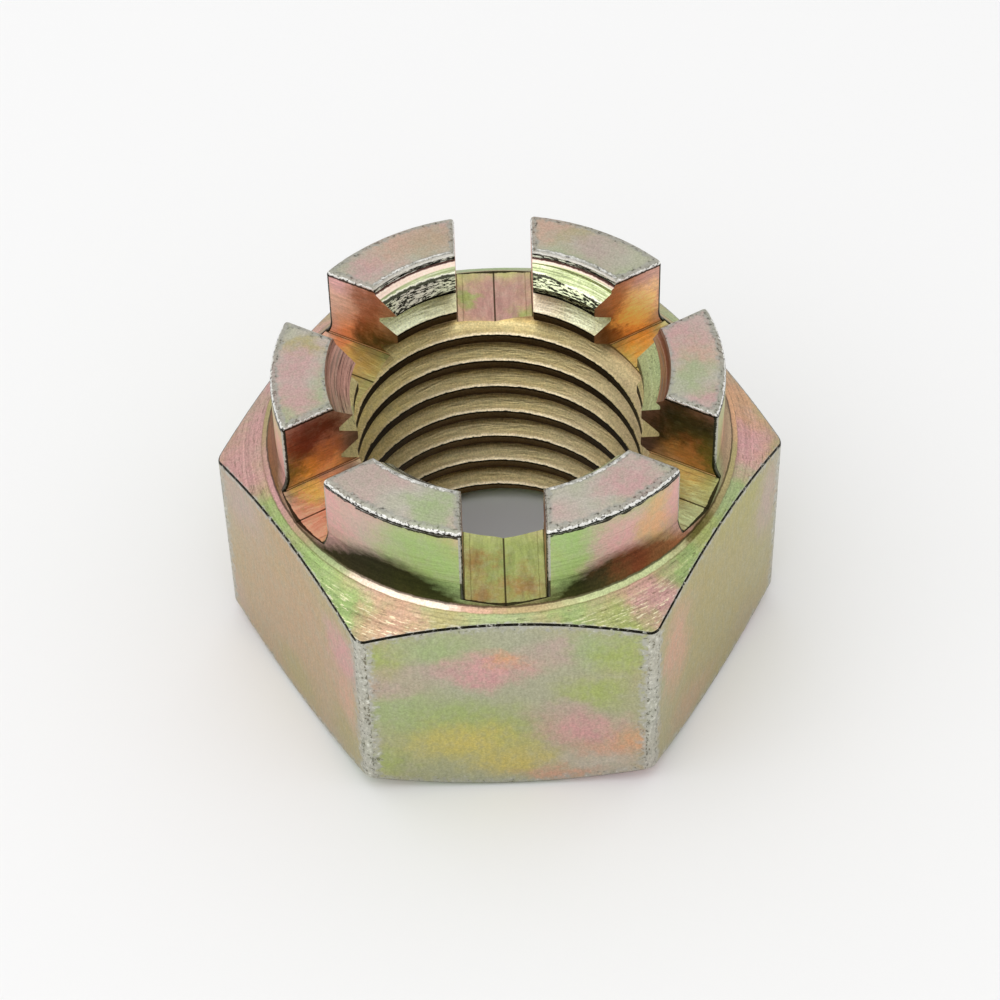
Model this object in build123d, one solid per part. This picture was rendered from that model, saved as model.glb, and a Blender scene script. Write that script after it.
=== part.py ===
from build123d import *

import math
import os

# Castle nut for an M30 x 3.5 stud: a hexagon with a round crown on top, cut by six slots for a split pin.
# Millimetres. The origin is the centre of the bearing face. +Z points to the crown and +X to a corner.
# The slots are in the middle of the flats.

# Hexagon
across_flats = 46.0
hexagon_edge_round = 1.2
bearing_face_diameter = 44.5
bearing_chamfer_angle = 22.5

# Crown
total_height = 32.4
crown_diameter = 41.5
crown_edge_round = 0.5
crown_root_round = 2.5
shoulder_angle = 29.0

# Slots
slot_count = 6
first_slot_angle = 30.0
slot_width = 7.3
slot_floor_height = 24.05
slot_floor_rise = 0.3
slot_edge_round = 0.35
shoulder_above_slot_floor = 0.35

# Bore: the minor diameter of the thread, with a countersink at each end that is this much wider all round
bore_diameter = 26.7
crown_countersink_width = 2.4
bearing_countersink_width = 2.4
countersink_angle = 110.0

# How far a cutting tool runs past the metal, and how closely two heights or directions must agree
overrun = 1.0
tolerance = 1e-6

# Values that follow from the sizes above
crown_radius = crown_diameter / 2
bore_radius = bore_diameter / 2
crown_mouth_radius = bore_radius + crown_countersink_width
bearing_mouth_radius = bore_radius + bearing_countersink_width
corner_radius = across_flats / math.sqrt(3)
blank_radius = corner_radius + overrun
shoulder_height = slot_floor_height + shoulder_above_slot_floor
slot_corner_height = slot_floor_height + slot_floor_rise
countersink_slope = math.tan(math.radians(90 - countersink_angle / 2))


def slope(degrees):
    """Rise over run of a surface that lies at this angle from the horizontal."""
    return math.tan(math.radians(degrees))


def hexagon_bar():
    """Hexagonal bar with rounded long edges, one corner on +X."""
    outline = RegularPolygon(radius=corner_radius, side_count=6)
    outline = fillet(outline.vertices(), hexagon_edge_round)
    return extrude(outline, total_height)


def turned_blank():
    """What the lathe leaves: bearing chamfer, sloping shoulder, rounded root and the crown."""
    chamfer_top = (blank_radius - bearing_face_diameter / 2) * slope(bearing_chamfer_angle)
    shoulder_foot = shoulder_height - (blank_radius - crown_radius) * slope(shoulder_angle)
    outline = Polyline(
        (0, 0),
        (bearing_face_diameter / 2, 0),
        (blank_radius, chamfer_top),
        (blank_radius, shoulder_foot),
        (crown_radius, shoulder_height),
        (crown_radius, total_height),
        (0, total_height),
        close=True,
    )
    section = Plane.XZ * make_face(outline)
    crown_wall = section.vertices().filter_by(lambda v: math.isclose(v.X, crown_radius))
    root, rim = crown_wall.sort_by(Axis.Z)
    section = fillet(root, crown_root_round)
    rim = section.vertices().filter_by(lambda v: math.isclose(v.X, crown_radius)).sort_by(Axis.Z)[-1]
    section = fillet(rim, crown_edge_round)
    return revolve(section, Axis.Z)


def bore_cutter():
    """The bore and its two countersinks, as one turned tool."""
    outline = Polyline(
        (0, -overrun),
        (bearing_mouth_radius, -overrun),
        (bearing_mouth_radius, 0),
        (bore_radius, bearing_countersink_width * countersink_slope),
        (bore_radius, total_height - crown_countersink_width * countersink_slope),
        (crown_mouth_radius, total_height),
        (crown_mouth_radius, total_height + overrun),
        (0, total_height + overrun),
        close=True,
    )
    return revolve(Plane.XZ * make_face(outline), Axis.Z)


def slot_cutter():
    """One radial slot along +X: two flat walls and a floor of two facets that meet in its middle line."""
    half = slot_width / 2
    top = total_height + overrun
    outline = Polyline(
        (0, slot_floor_height),
        (half, slot_corner_height),
        (half, top),
        (-half, top),
        (-half, slot_corner_height),
        close=True,
    )
    return extrude(Plane.YZ * make_face(outline), blank_radius)


def slot_rims(nut):
    """The outer and top edges of the slot walls, which wear has rounded."""
    upright = nut.faces().filter_by(lambda f: f.is_planar and abs(f.normal_at().Z) < tolerance)
    walls = upright.filter_by(lambda f: f.center().Z > slot_corner_height)
    rims = ShapeList()
    for wall in walls:
        for edge in wall.edges():
            middle = edge @ 0.5
            reach = math.hypot(middle.X, middle.Y)
            if middle.Z > slot_corner_height + tolerance and reach > crown_mouth_radius:
                rims.append(edge)
    return rims


def castle_nut():
    """The finished nut, one solid."""
    nut = hexagon_bar() & turned_blank()
    nut -= bore_cutter()
    for index in range(slot_count):
        angle = first_slot_angle + index * 360 / slot_count
        nut -= Rot(0, 0, angle) * slot_cutter()
    return fillet(slot_rims(nut), slot_edge_round)


os.makedirs("parts", exist_ok=True)
export_step(castle_nut(), "parts/castle_nut.step")
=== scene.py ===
"""Castle nut M30 x 3.5 in zinc plate with an iridescent yellow passivation, on a plain pale floor."""
from __future__ import annotations

import logging
import math
from contextlib import contextmanager
from dataclasses import dataclass, field, replace
from enum import Enum
from functools import partial, reduce
from typing import Callable, Iterable, Iterator

import bpy
import bmesh
from bpy.types import Node, NodeSocket, NodeTree, Object
from mathutils import Matrix, Vector


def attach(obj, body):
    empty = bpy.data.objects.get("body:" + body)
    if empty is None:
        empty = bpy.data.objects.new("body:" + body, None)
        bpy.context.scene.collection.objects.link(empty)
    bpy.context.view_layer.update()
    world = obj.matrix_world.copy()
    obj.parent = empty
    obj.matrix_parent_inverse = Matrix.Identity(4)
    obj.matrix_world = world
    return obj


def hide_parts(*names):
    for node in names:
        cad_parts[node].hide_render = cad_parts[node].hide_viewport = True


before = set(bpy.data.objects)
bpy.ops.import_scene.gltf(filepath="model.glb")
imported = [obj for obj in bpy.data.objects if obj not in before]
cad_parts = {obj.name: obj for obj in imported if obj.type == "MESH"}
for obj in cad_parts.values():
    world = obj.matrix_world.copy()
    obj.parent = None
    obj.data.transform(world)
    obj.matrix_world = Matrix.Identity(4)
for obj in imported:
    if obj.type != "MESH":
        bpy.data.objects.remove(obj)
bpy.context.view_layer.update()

log = logging.getLogger("castle_nut")

MM = 0.001

# Millimetres: how far a blank or a cutter runs past the metal, and how closely two places must agree
OVERRUN = 1.0
SLACK = 0.02

# Millimetres: vertices closer than this are one
WELD = 0.001

# Radians: faces that meet at more than this make a sharp edge
SHARP = math.radians(22)


class Cut(Enum):
    """The two ways in which one solid shapes another."""

    KEEP_SHARED = "INTERSECT"
    TAKE_AWAY = "DIFFERENCE"


class Parts(Enum):
    """What can be selected in edit mode."""

    EDGES = "EDGE"
    FACES = "FACE"


# Modelling helpers


def deselect_all() -> None:
    """Leave nothing selected, the imported solids included."""
    if bpy.context.object and bpy.context.object.mode != "OBJECT":
        bpy.ops.object.mode_set(mode="OBJECT")
    bpy.ops.object.select_all(action="DESELECT")


@contextmanager
def editing(piece: Object) -> Iterator[None]:
    """Edit one object's mesh, all of it selected at first, and go back to object mode afterwards.

    Args:
        piece: The mesh object.
    """
    deselect_all()
    piece.select_set(True)
    bpy.context.view_layer.objects.active = piece
    bpy.ops.object.mode_set(mode="EDIT")
    bpy.ops.mesh.select_all(action="SELECT")
    yield
    bpy.ops.object.mode_set(mode="OBJECT")


def select(piece: Object, parts: Parts, wanted: Callable[..., bool]) -> int:
    """Select the edges or faces that pass a test, and no others.

    Args:
        piece: The mesh object, in edit mode.
        parts: Edges or faces.
        wanted: Says of one of them whether it is selected.

    Returns:
        How many are selected.
    """
    bpy.ops.mesh.select_mode(type=parts.value)
    bpy.ops.mesh.select_all(action="DESELECT")
    chosen = [part for part in getattr(bmesh.from_edit_mesh(piece.data), parts.name.lower()) if wanted(part)]
    for part in chosen:
        part.select_set(True)
    bmesh.update_edit_mesh(piece.data)
    return len(chosen)


def round_edges(piece: Object, wanted: Callable[..., bool], width: float, segments: int) -> int:
    """Round the edges that pass a test.

    Args:
        piece: The mesh object, in edit mode.
        wanted: Says of one edge whether it is rounded.
        width: How far from the edge the round begins.
        segments: How many faces make the round.

    Returns:
        How many edges were rounded.
    """
    count = select(piece, Parts.EDGES, wanted)
    bpy.ops.mesh.bevel(offset=width, segments=segments, affect="EDGES")
    return count


def combine(target: Object, tool: Object, how: Cut) -> None:
    """Shape one solid with another and throw the tool away.

    Args:
        target: The solid that is kept.
        tool: The solid that cuts it.
        how: Whether the shared space is kept or taken away.
    """
    deselect_all()
    bpy.context.view_layer.objects.active = target
    modifier = target.modifiers.new(how.name.lower(), "BOOLEAN")
    modifier.operation = how.value
    modifier.solver = "EXACT"
    modifier.object = tool
    bpy.ops.object.modifier_apply(modifier=modifier.name)
    bpy.data.objects.remove(tool)


def slope(degrees: float) -> float:
    """Rise over run of a surface that lies at this angle."""
    return math.tan(math.radians(degrees))


def reach(point: Vector) -> float:
    """Distance of a point from the nut's axis."""
    return math.hypot(point.x, point.y)


def is_sharp(edge: bmesh.types.BMEdge) -> bool:
    """Whether two faces meet in an edge at a clear angle."""
    return edge.is_manifold and edge.calc_face_angle() > SHARP


def is_ring(edge: bmesh.types.BMEdge, radius: float, height: float) -> bool:
    """Whether both ends of an edge lie on one turned circle."""
    strays = [(reach(vert.co) - radius, vert.co.z - height) for vert in edge.verts]
    return all(max(abs(across), abs(up)) < SLACK for across, up in strays)


# The nut


class Surface(Enum):
    """The nut's surfaces, each with its own finish. The values are the order of its materials."""

    FLAT = 0
    SHOULDER = 1
    CROWN_WALL = 2
    CROWN_TOP = 3
    SLOT_WALL = 4
    SLOT_FLOOR = 5
    MOUTH = 6
    THREAD = 7
    BEARING = 8
    CORNER = 9
    ARRIS = 10
    RIM = 11


@dataclass
class CastleNut:
    """The one piece of steel, in millimetres and degrees. The finished solid is scaled to metres."""

    across_flats: float = 46.0
    corner_round: float = 1.2
    bearing_radius: float = 22.25
    bearing_chamfer: float = 22.5
    height: float = 32.4
    crown_radius: float = 20.75
    crown_rim_round: float = 0.5
    crown_root_round: float = 2.5
    shoulder_slope: float = 29.0
    shoulder_height: float = 24.4
    shoulder_end: float = 21.25
    root_end: float = 28.0
    mouth_radius: float = 15.75
    lip_radius: float = 15.45
    lip_height: float = 31.65
    bore_radius: float = 13.35
    cone_foot: float = 29.95
    countersink_slope: float = 35.0
    slots: int = 6
    slot_width: float = 7.3
    slot_floor: float = 24.05
    slot_floor_rise: float = 0.3
    slot_round: float = 0.35
    edge_round: float = 0.15
    pitch: float = 3.5
    thread_radius: float = 15.15
    thread_flank: float = 30.0
    crest_width: float = 1.0
    crest_height_at_x: float = 21.52
    columns: int = 120
    piece: Object = field(init=False)

    @property
    def sector(self) -> float:
        """The turn from one slot to the next, in radians."""
        return math.tau / self.slots

    @property
    def corner_radius(self) -> float:
        """Distance from the axis to a sharp corner of the hexagon."""
        return self.across_flats / math.sqrt(3)

    @property
    def corner_width(self) -> float:
        """How far the rounded corner reaches along a flat."""
        return self.corner_round * math.tan(self.sector / 2)

    @property
    def flat_half_width(self) -> float:
        """Half the width of a flat between its rounded corners."""
        return self.corner_radius / 2 - self.corner_width

    @property
    def blank_radius(self) -> float:
        """Radius of the round bar that the profile is turned on, clear of the corners."""
        return self.corner_radius + OVERRUN

    @property
    def slot_corner(self) -> float:
        """Height at which a slot's floor meets its walls."""
        return self.slot_floor + self.slot_floor_rise

    def turned_blank(self) -> Object:
        """Draw the turned outline out of one disc: chamfer, shoulder, crown, countersinks and bore.

        Returns:
            A closed solid of revolution.
        """
        chamfer_top = (self.blank_radius - self.bearing_radius) * slope(self.bearing_chamfer)
        fall = (self.blank_radius - self.crown_radius) * slope(self.shoulder_slope)
        countersink_depth = (self.mouth_radius - self.bore_radius) * slope(self.countersink_slope)
        outline = (
            (self.bearing_radius, 0.0),
            (self.blank_radius, chamfer_top),
            (self.blank_radius, self.shoulder_height - fall),
            (self.crown_radius, self.shoulder_height),
            (self.crown_radius, self.height),
            (self.mouth_radius, self.height),
            (self.lip_radius, self.lip_height),
            (self.bore_radius, self.cone_foot),
            (self.bore_radius, countersink_depth),
            (self.mouth_radius, 0.0),
        )
        radius, level = outline[-1]
        deselect_all()
        bpy.ops.mesh.primitive_circle_add(
            vertices=self.columns, radius=radius, fill_type="NGON", location=(0, 0, 0)
        )
        blank = bpy.context.object
        with editing(blank):
            for next_radius, next_level in outline:
                bpy.ops.mesh.extrude_region_move(TRANSFORM_OT_translate={"value": (0, 0, next_level - level)})
                ratio = next_radius / radius
                bpy.ops.transform.resize(value=(ratio, ratio, 1), center_override=(0, 0, 0))
                radius, level = next_radius, next_level
            bpy.ops.mesh.delete(type="ONLY_FACE")
            select(blank, Parts.FACES, lambda face: len(face.verts) > 4)
            bpy.ops.mesh.delete(type="ONLY_FACE")
            bpy.ops.mesh.select_all(action="SELECT")
            bpy.ops.mesh.remove_doubles(threshold=WELD)
            bpy.ops.mesh.normals_make_consistent()
            tangent = self.crown_root_round / slope((90 + self.shoulder_slope) / 2)
            rings = (self.shoulder_height, tangent, 10), (self.height, self.crown_rim_round, 5)
            for height, width, segments in rings:
                ring = partial(is_ring, radius=self.crown_radius, height=height)
                round_edges(blank, ring, width, segments)
        return blank

    def hexagon_bar(self) -> Object:
        """Draw the hexagonal bar, one corner on +X, and round its long edges.

        Returns:
            A closed prism that runs past the nut at both ends.
        """
        deselect_all()
        bpy.ops.mesh.primitive_cylinder_add(
            vertices=6,
            radius=self.corner_radius,
            depth=self.height + 2 * OVERRUN,
            location=(0, 0, self.height / 2),
            rotation=(0, 0, math.radians(30)),
        )
        bar = bpy.context.object
        bpy.ops.object.transform_apply()
        with editing(bar):
            round_edges(bar, lambda edge: edge.calc_length() > self.height, self.corner_width, 5)
        return bar

    def slot_cutter(self) -> Object:
        """Shape one radial cutter, whose floor sinks to a line in its middle, and repeat it around the axis.

        Returns:
            Six closed solids in one object.
        """
        inner, outer = self.bore_radius - 4 * OVERRUN, self.blank_radius + 2 * OVERRUN
        bottom, top = self.slot_corner, self.height + 2 * OVERRUN
        deselect_all()
        bpy.ops.mesh.primitive_cube_add(size=1, location=((inner + outer) / 2, 0, (bottom + top) / 2))
        cutter = bpy.context.object
        cutter.scale = (outer - inner, self.slot_width, top - bottom)
        bpy.ops.object.transform_apply()
        with editing(cutter):
            bpy.ops.mesh.bisect(plane_co=(0, 0, 0), plane_no=(0, 1, 0))
            select(cutter, Parts.EDGES, lambda edge: all(
                abs(vert.co.y) < WELD and abs(vert.co.z - bottom) < WELD for vert in edge.verts
            ))
            bpy.ops.transform.translate(value=(0, 0, -self.slot_floor_rise))
        cutter.rotation_euler.z = self.sector / 2
        bpy.ops.object.transform_apply()
        turn = math.tau - self.sector
        with editing(cutter):
            bpy.ops.mesh.spin(dupli=True, steps=self.slots - 1, angle=turn, center=(0, 0, 0), axis=(0, 0, 1))
        return cutter

    def tap(self) -> Object:
        """Wind the helical groove of a right-hand thread, longer than the nut at both ends.

        Returns:
            A closed solid to cut with.
        """
        groove = self.pitch - self.crest_width
        lean = slope(self.thread_flank)
        root = groove - 2 * (self.thread_radius - self.bore_radius) * lean
        inner = self.bore_radius - 0.45 * OVERRUN
        mouth = groove + 2 * (self.bore_radius - inner) * lean
        first = self.crest_height_at_x + (self.crest_width + self.pitch) / 2
        turns = math.ceil((first + 2 * self.pitch) / self.pitch)
        start = first - turns * self.pitch
        deselect_all()
        bpy.ops.mesh.primitive_plane_add(size=1, location=(0, 0, 0), rotation=(math.radians(90), 0, 0))
        tap = bpy.context.object
        bpy.ops.object.transform_apply()
        for vert in tap.data.vertices:
            outer = vert.co.x > 0
            vert.co.x = self.thread_radius if outer else inner
            vert.co.z = start + math.copysign((root if outer else mouth) / 2, vert.co.z)
        with editing(tap):
            bpy.ops.mesh.delete(type="ONLY_FACE")
        modifier = tap.modifiers.new("turns", "SCREW")
        modifier.angle = math.tau
        modifier.screw_offset = self.pitch
        modifier.iterations = turns + math.ceil((self.height - first) / self.pitch) + 2
        modifier.steps = self.columns
        modifier.render_steps = self.columns
        modifier.use_merge_vertices = False
        bpy.ops.object.modifier_apply(modifier=modifier.name)
        with editing(tap):
            select(tap, Parts.EDGES, lambda edge: edge.is_boundary)
            bpy.ops.mesh.edge_face_add()
            bpy.ops.mesh.select_all(action="SELECT")
            bpy.ops.mesh.normals_make_consistent()
        return tap

    def in_sector(self, place: Vector) -> tuple[float, float]:
        """Measure a place in the frame of the nearest flat and its slot.

        Args:
            place: A point of the nut.

        Returns:
            Its distance from the slot's middle plane, and its distance from the axis along that plane.
        """
        turn = math.atan2(place.y, place.x) - self.sector / 2
        turn -= round(turn / self.sector) * self.sector
        return abs(reach(place) * math.sin(turn)), reach(place) * math.cos(turn)

    def worn_rim(self, edge: bmesh.types.BMEdge) -> bool:
        """Tell whether an edge is the outer or top rim of a slot wall.

        Args:
            edge: An edge of the nut.

        Returns:
            True where the rim is worn round.
        """
        return is_sharp(edge) and all(
            reach(vert.co) > self.mouth_radius - SLACK / 2
            and vert.co.z > self.slot_corner - SLACK / 2
            and abs(self.in_sector(vert.co)[0] - self.slot_width / 2) < SLACK / 4
            for vert in edge.verts
        )

    def low_edge(self, edge: bmesh.types.BMEdge) -> bool:
        """Tell whether an edge is a sharp one of the hexagon or the bearing face.

        Args:
            edge: An edge of the nut.

        Returns:
            True where the edge is broken a little.
        """
        return is_sharp(edge) and all(
            reach(vert.co) > self.mouth_radius + SLACK and vert.co.z < self.slot_floor - 0.3
            for vert in edge.verts
        )

    def surface_at(self, place: Vector, normal: Vector) -> Surface:
        """Tell which surface a face belongs to.

        Args:
            place: The face's middle.
            normal: The face's normal.

        Returns:
            The surface.
        """
        radius, level, up = reach(place), place.z, normal.z
        offset, apothem = self.in_sector(place)
        upright = abs(up) < 0.03
        if up > 0.99 and level > self.height - 0.05:
            return Surface.CROWN_TOP
        if up < -0.9 and (level < 0.05 or radius > self.bearing_radius):
            return Surface.BEARING
        if upright and abs(offset - self.slot_width / 2) < SLACK and level > self.slot_floor:
            return Surface.SLOT_WALL
        if up > 0.98 and self.slot_floor - 0.05 < level < self.slot_corner + 0.05:
            return Surface.SLOT_FLOOR
        if radius < self.mouth_radius:
            slant = (self.lip_height - self.cone_foot) / (self.lip_radius - self.bore_radius)
            upper = self.cone_foot + (radius - self.bore_radius) * slant - 0.3
            lower = (self.mouth_radius - radius) * slope(self.countersink_slope) + 0.3
            sunk = 0.3 < abs(up) < 0.85 and (level > upper or level < lower)
            return Surface.MOUTH if sunk else Surface.THREAD
        if upright and apothem > self.across_flats / 2 - SLACK and offset < self.flat_half_width:
            return Surface.FLAT
        if upright and level < self.slot_floor and radius > self.across_flats / 2:
            return Surface.CORNER
        if upright and abs(radius - self.crown_radius) < 0.03:
            return Surface.CROWN_WALL
        outward = (normal.x * place.x + normal.y * place.y) / radius
        turned = outward > 0.995 * math.hypot(normal.x, normal.y)
        near_root = up > 0.86 or radius < self.crown_radius + 1.5
        if turned and near_root and self.shoulder_end < level < self.root_end:
            return Surface.SHOULDER
        if level < 5:
            return Surface.CORNER
        return Surface.ARRIS if level < self.slot_floor - 0.2 else Surface.RIM

    def build(self) -> Object:
        """Make the nut and bring it to metres.

        Returns:
            The finished mesh object, in the part's frame.
        """
        nut = self.turned_blank()
        combine(nut, self.hexagon_bar(), Cut.KEEP_SHARED)
        combine(nut, self.slot_cutter(), Cut.TAKE_AWAY)
        with editing(nut):
            rims = round_edges(nut, self.worn_rim, self.slot_round, 3)
            edges = round_edges(nut, self.low_edge, self.edge_round, 2)
        log.info("rounded %d slot edges and %d others", rims, edges)
        combine(nut, self.tap(), Cut.TAKE_AWAY)
        with editing(nut):
            bpy.ops.mesh.remove_doubles(threshold=WELD / 2)
            bpy.ops.mesh.dissolve_degenerate(threshold=WELD / 2)
            bpy.ops.mesh.normals_make_consistent()
        for face in nut.data.polygons:
            face.material_index = self.surface_at(face.center, face.normal).value
        nut.scale = (MM, MM, MM)
        bpy.ops.object.transform_apply()
        bpy.ops.object.shade_smooth_by_angle(angle=math.radians(30))
        nut.name = "castle_nut_visual"
        self.piece = nut
        return nut

    def dress(self, finishes: dict[Surface, PassivatedZinc]) -> None:
        """Give every surface its finish.

        Args:
            finishes: The finish of each surface.
        """
        mesh = self.piece.data
        faces = [face.material_index for face in mesh.polygons]
        mesh.materials.clear()
        for surface, finish in finishes.items():
            mesh.materials.append(finish.material())
            log.info("%s: %s, %d faces", surface.name.lower(), finish.name, faces.count(surface.value))
        for face, index in zip(mesh.polygons, faces):
            face.material_index = index


# Node helper and colours


Feed = Node | NodeSocket | float | tuple[float, ...]


def linear(colour: str) -> tuple[float, float, float, float]:
    """Turn an sRGB hex colour into the linear one that Blender's sockets take.

    Args:
        colour: Six hexadecimal digits after a hash sign.

    Returns:
        Linear red, green and blue, and alpha.
    """
    parts = (int(colour[start : start + 2], 16) / 255 for start in (1, 3, 5))
    red, green, blue = (
        part / 12.92 if part <= 0.04045 else ((part + 0.055) / 1.055) ** 2.4 for part in parts
    )
    return red, green, blue, 1.0


def add_node(
    tree: NodeTree,
    kind: str,
    *feeds: Feed,
    named: dict[int | str, Feed] | None = None,
    stops: Iterable[tuple[float, str]] = (),
    **settings: object,
) -> Node:
    """Add one shader node with its settings and links.

    Args:
        tree: The material's node tree.
        kind: The node's type without its prefix, and after a colon its operation, where it has one.
        *feeds: What its first inputs take: a socket, a node's first live output, or a plain value.
        named: What other inputs take, by name or number.
        stops: Places and sRGB hex colours of a colour ramp.
        **settings: Other properties of the node.

    Returns:
        The new node.
    """
    name, _, operation = kind.partition(":")
    node = tree.nodes.new("ShaderNode" + name)
    if operation:
        node.operation = operation
    for setting, value in settings.items():
        setattr(node, setting, value)
    for index, (place, colour) in enumerate(stops):
        elements = node.color_ramp.elements
        stop = elements[index] if index < 2 else elements.new(place)
        stop.position = place
        stop.color = linear(colour)
    for slot, feed in (*enumerate(feeds), *(named or {}).items()):
        if isinstance(feed, Node):
            feed = next(output for output in feed.outputs if output.enabled)
        if isinstance(feed, NodeSocket):
            tree.links.new(feed, node.inputs[slot])
        else:
            node.inputs[slot].default_value = feed
    return node


class Tint(str, Enum):
    """Colours of the yellow passivation: each is what one thickness of the film shows, except the near-black
    one at the crown's foot, which is painted shade.
    """

    GOLD = "#AE9F5B"
    OLIVE = "#A2AD69"
    GREEN = "#A0AE7E"
    LEAF = "#97B06E"
    LIME = "#C6D19C"
    PALE = "#E6EDC4"
    GREY = "#A9A991"
    SILVER = "#BDB6A8"
    TAN = "#B89C7C"
    KHAKI = "#ACA070"
    MAUVE = "#B6A297"
    PINK = "#C99A99"
    CREAM = "#FFEBD8"
    SALMON = "#C9A08A"
    ORANGE = "#CFA07C"
    ROSE = "#BC9083"
    COPPER = "#BC8058"
    AMBER = "#C9954C"
    BROWN = "#8E5838"
    RUST = "#73391F"
    UMBER = "#463A16"
    MOSS = "#5C5826"
    # Painted shade for the foot of the crown, not a film colour.
    PITCH = "#1D1E0B"
    HONEY = "#FFCC82"
    STRAW = "#DCCB78"
    APRICOT = "#FFB294"
    SAGE = "#8A9457"
    DUSK = "#A58077"
    BOTTLE = "#2B3016"
    WHEAT = "#C6B76C"
    SAND = "#CBB48C"
    HAY = "#C8C983"
    FROST = "#F8FFDC"
    CLAY = "#A06A52"
    BARK = "#8F7145"


@dataclass(frozen=True)
class Bloom:
    """A soft patch of one tint: its middle, its reach along and across the surface in millimetres."""

    place: tuple[float, float, float]
    reach: tuple[float, float]
    tint: Tint


Layer = tuple[Feed, float, float, float, str | Node]


def wash(share: float, tone: str | Node) -> Layer:
    """A layer that covers everything evenly."""
    return (0.0, -1.0, 0.0, share, tone)


class NutPlaces:
    """Where a point of the nut lies, in millimetres: the places that the finishes are laid out by."""

    def __init__(self, tree: NodeTree) -> None:
        """Lay the nodes. Apothem and offset are measured in the frame of the nearest flat and its slot.

        Args:
            tree: The material's node tree.
        """
        add = self.add = partial(add_node, tree)
        self.point = add("VectorMath:SCALE", add("TexCoord").outputs["Object"], named={"Scale": 1 / MM})
        axes = add("SeparateXYZ", self.point)
        self.side, self.depth, self.height = axes.outputs
        self.aside = add("Math:ABSOLUTE", self.side)
        self.radius = add("VectorMath:LENGTH", add("VectorMath:MULTIPLY", self.point, (1, 1, 0)))
        self.turn = add("Math:ARCTAN2", self.depth, self.side)
        half = math.radians(30)
        folded = add("Math:WRAP", add("Math:SUBTRACT", self.turn, half), half, -half)
        self.apothem = add("Math:MULTIPLY", self.radius, add("Math:COSINE", folded))
        signed = add("Math:MULTIPLY", self.radius, add("Math:SINE", folded))
        self.offset = add("Math:ABSOLUTE", signed)

    def noise(self, stretch: tuple[float, float, float], detail: float = 3.0, around: bool = True) -> Node:
        """Noise whose stretch is given along radius, height and turn, or along the three axes.

        Args:
            stretch: How often it changes per millimetre, and per radian along the turn.
            detail: How many finer layers it has.
            around: Whether it follows the turning of the nut.

        Returns:
            A noise from 0 to 1.
        """
        add, plain = self.add, {"Scale": 1.0, "Detail": detail, "Roughness": 0.62}
        if not around:
            drawn = add("VectorMath:MULTIPLY", self.point, stretch)
            return add("TexNoise", named={"Vector": drawn, **plain})
        laid = add("CombineXYZ", self.radius, self.height, add("Math:COSINE", self.turn))
        drawn = add("VectorMath:MULTIPLY", laid, stretch)
        fourth = add("Math:MULTIPLY", add("Math:SINE", self.turn), stretch[2])
        return add("TexNoise", named={"Vector": drawn, "W": fourth, **plain}, noise_dimensions="4D")

    def grit(self, often: float, detail: float = 3.0) -> Node:
        """Noise that changes this often per millimetre in all directions."""
        return self.noise((often, often, often), detail, around=False)

    def spread(self, noise: Node, low: float, high: float) -> Node:
        """A noise, which seldom leaves 0.3 to 0.7 by itself, brought to run from low to high."""
        return self.add("MapRange", noise, 0.3, 0.7, low, high)

    def shifted(self, measure: Feed, other: Feed, share: float) -> Node:
        """A measure with a share of another one added."""
        return self.add("Math:MULTIPLY_ADD", other, share, measure)

    def lay(self, colour: Feed, *layers: Layer, **settings: object) -> Node:
        """Lay colours over one another, each where a measure has passed from its start to its end.

        Args:
            colour: The lowest colour.
            *layers: The measure, its start and end, the share that covers, and an sRGB hex colour or a node.
            **settings: How the way from start to end is mapped.

        Returns:
            The dressed colour.
        """
        for measure, start, end, share, tone in layers:
            over = self.add("MapRange", measure, start, end, 0.0, share, **settings)
            upper = linear(tone) if isinstance(tone, str) else tone
            colour = self.add("Mix", over, named={6: colour, 7: upper}, data_type="RGBA")
        return colour


# Finishes


class Marks(Enum):
    """What the tool left on a surface, as a noise stretched along axes or along radius, height and turn."""

    DRAWN = ((3.6, 3.6, 0.9), False)
    TURNED = ((3.6, 3.6, 2.2), True)
    MILLED = ((0.5, 4.5, 40.0), True)
    TAPPED = ((4.6, 4.6, 9.0), True)


BRIGHT_ZINC = ((0.34, "#55544B"), (0.4, "#B0AFA6"), (0.58, "#BDBCB4"), (0.68, "#DEDED8"))
DULL_ZINC = ((0.38, "#4C4B43"), (0.45, "#9A9990"), (0.62, "#ABAAA1"))


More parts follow.
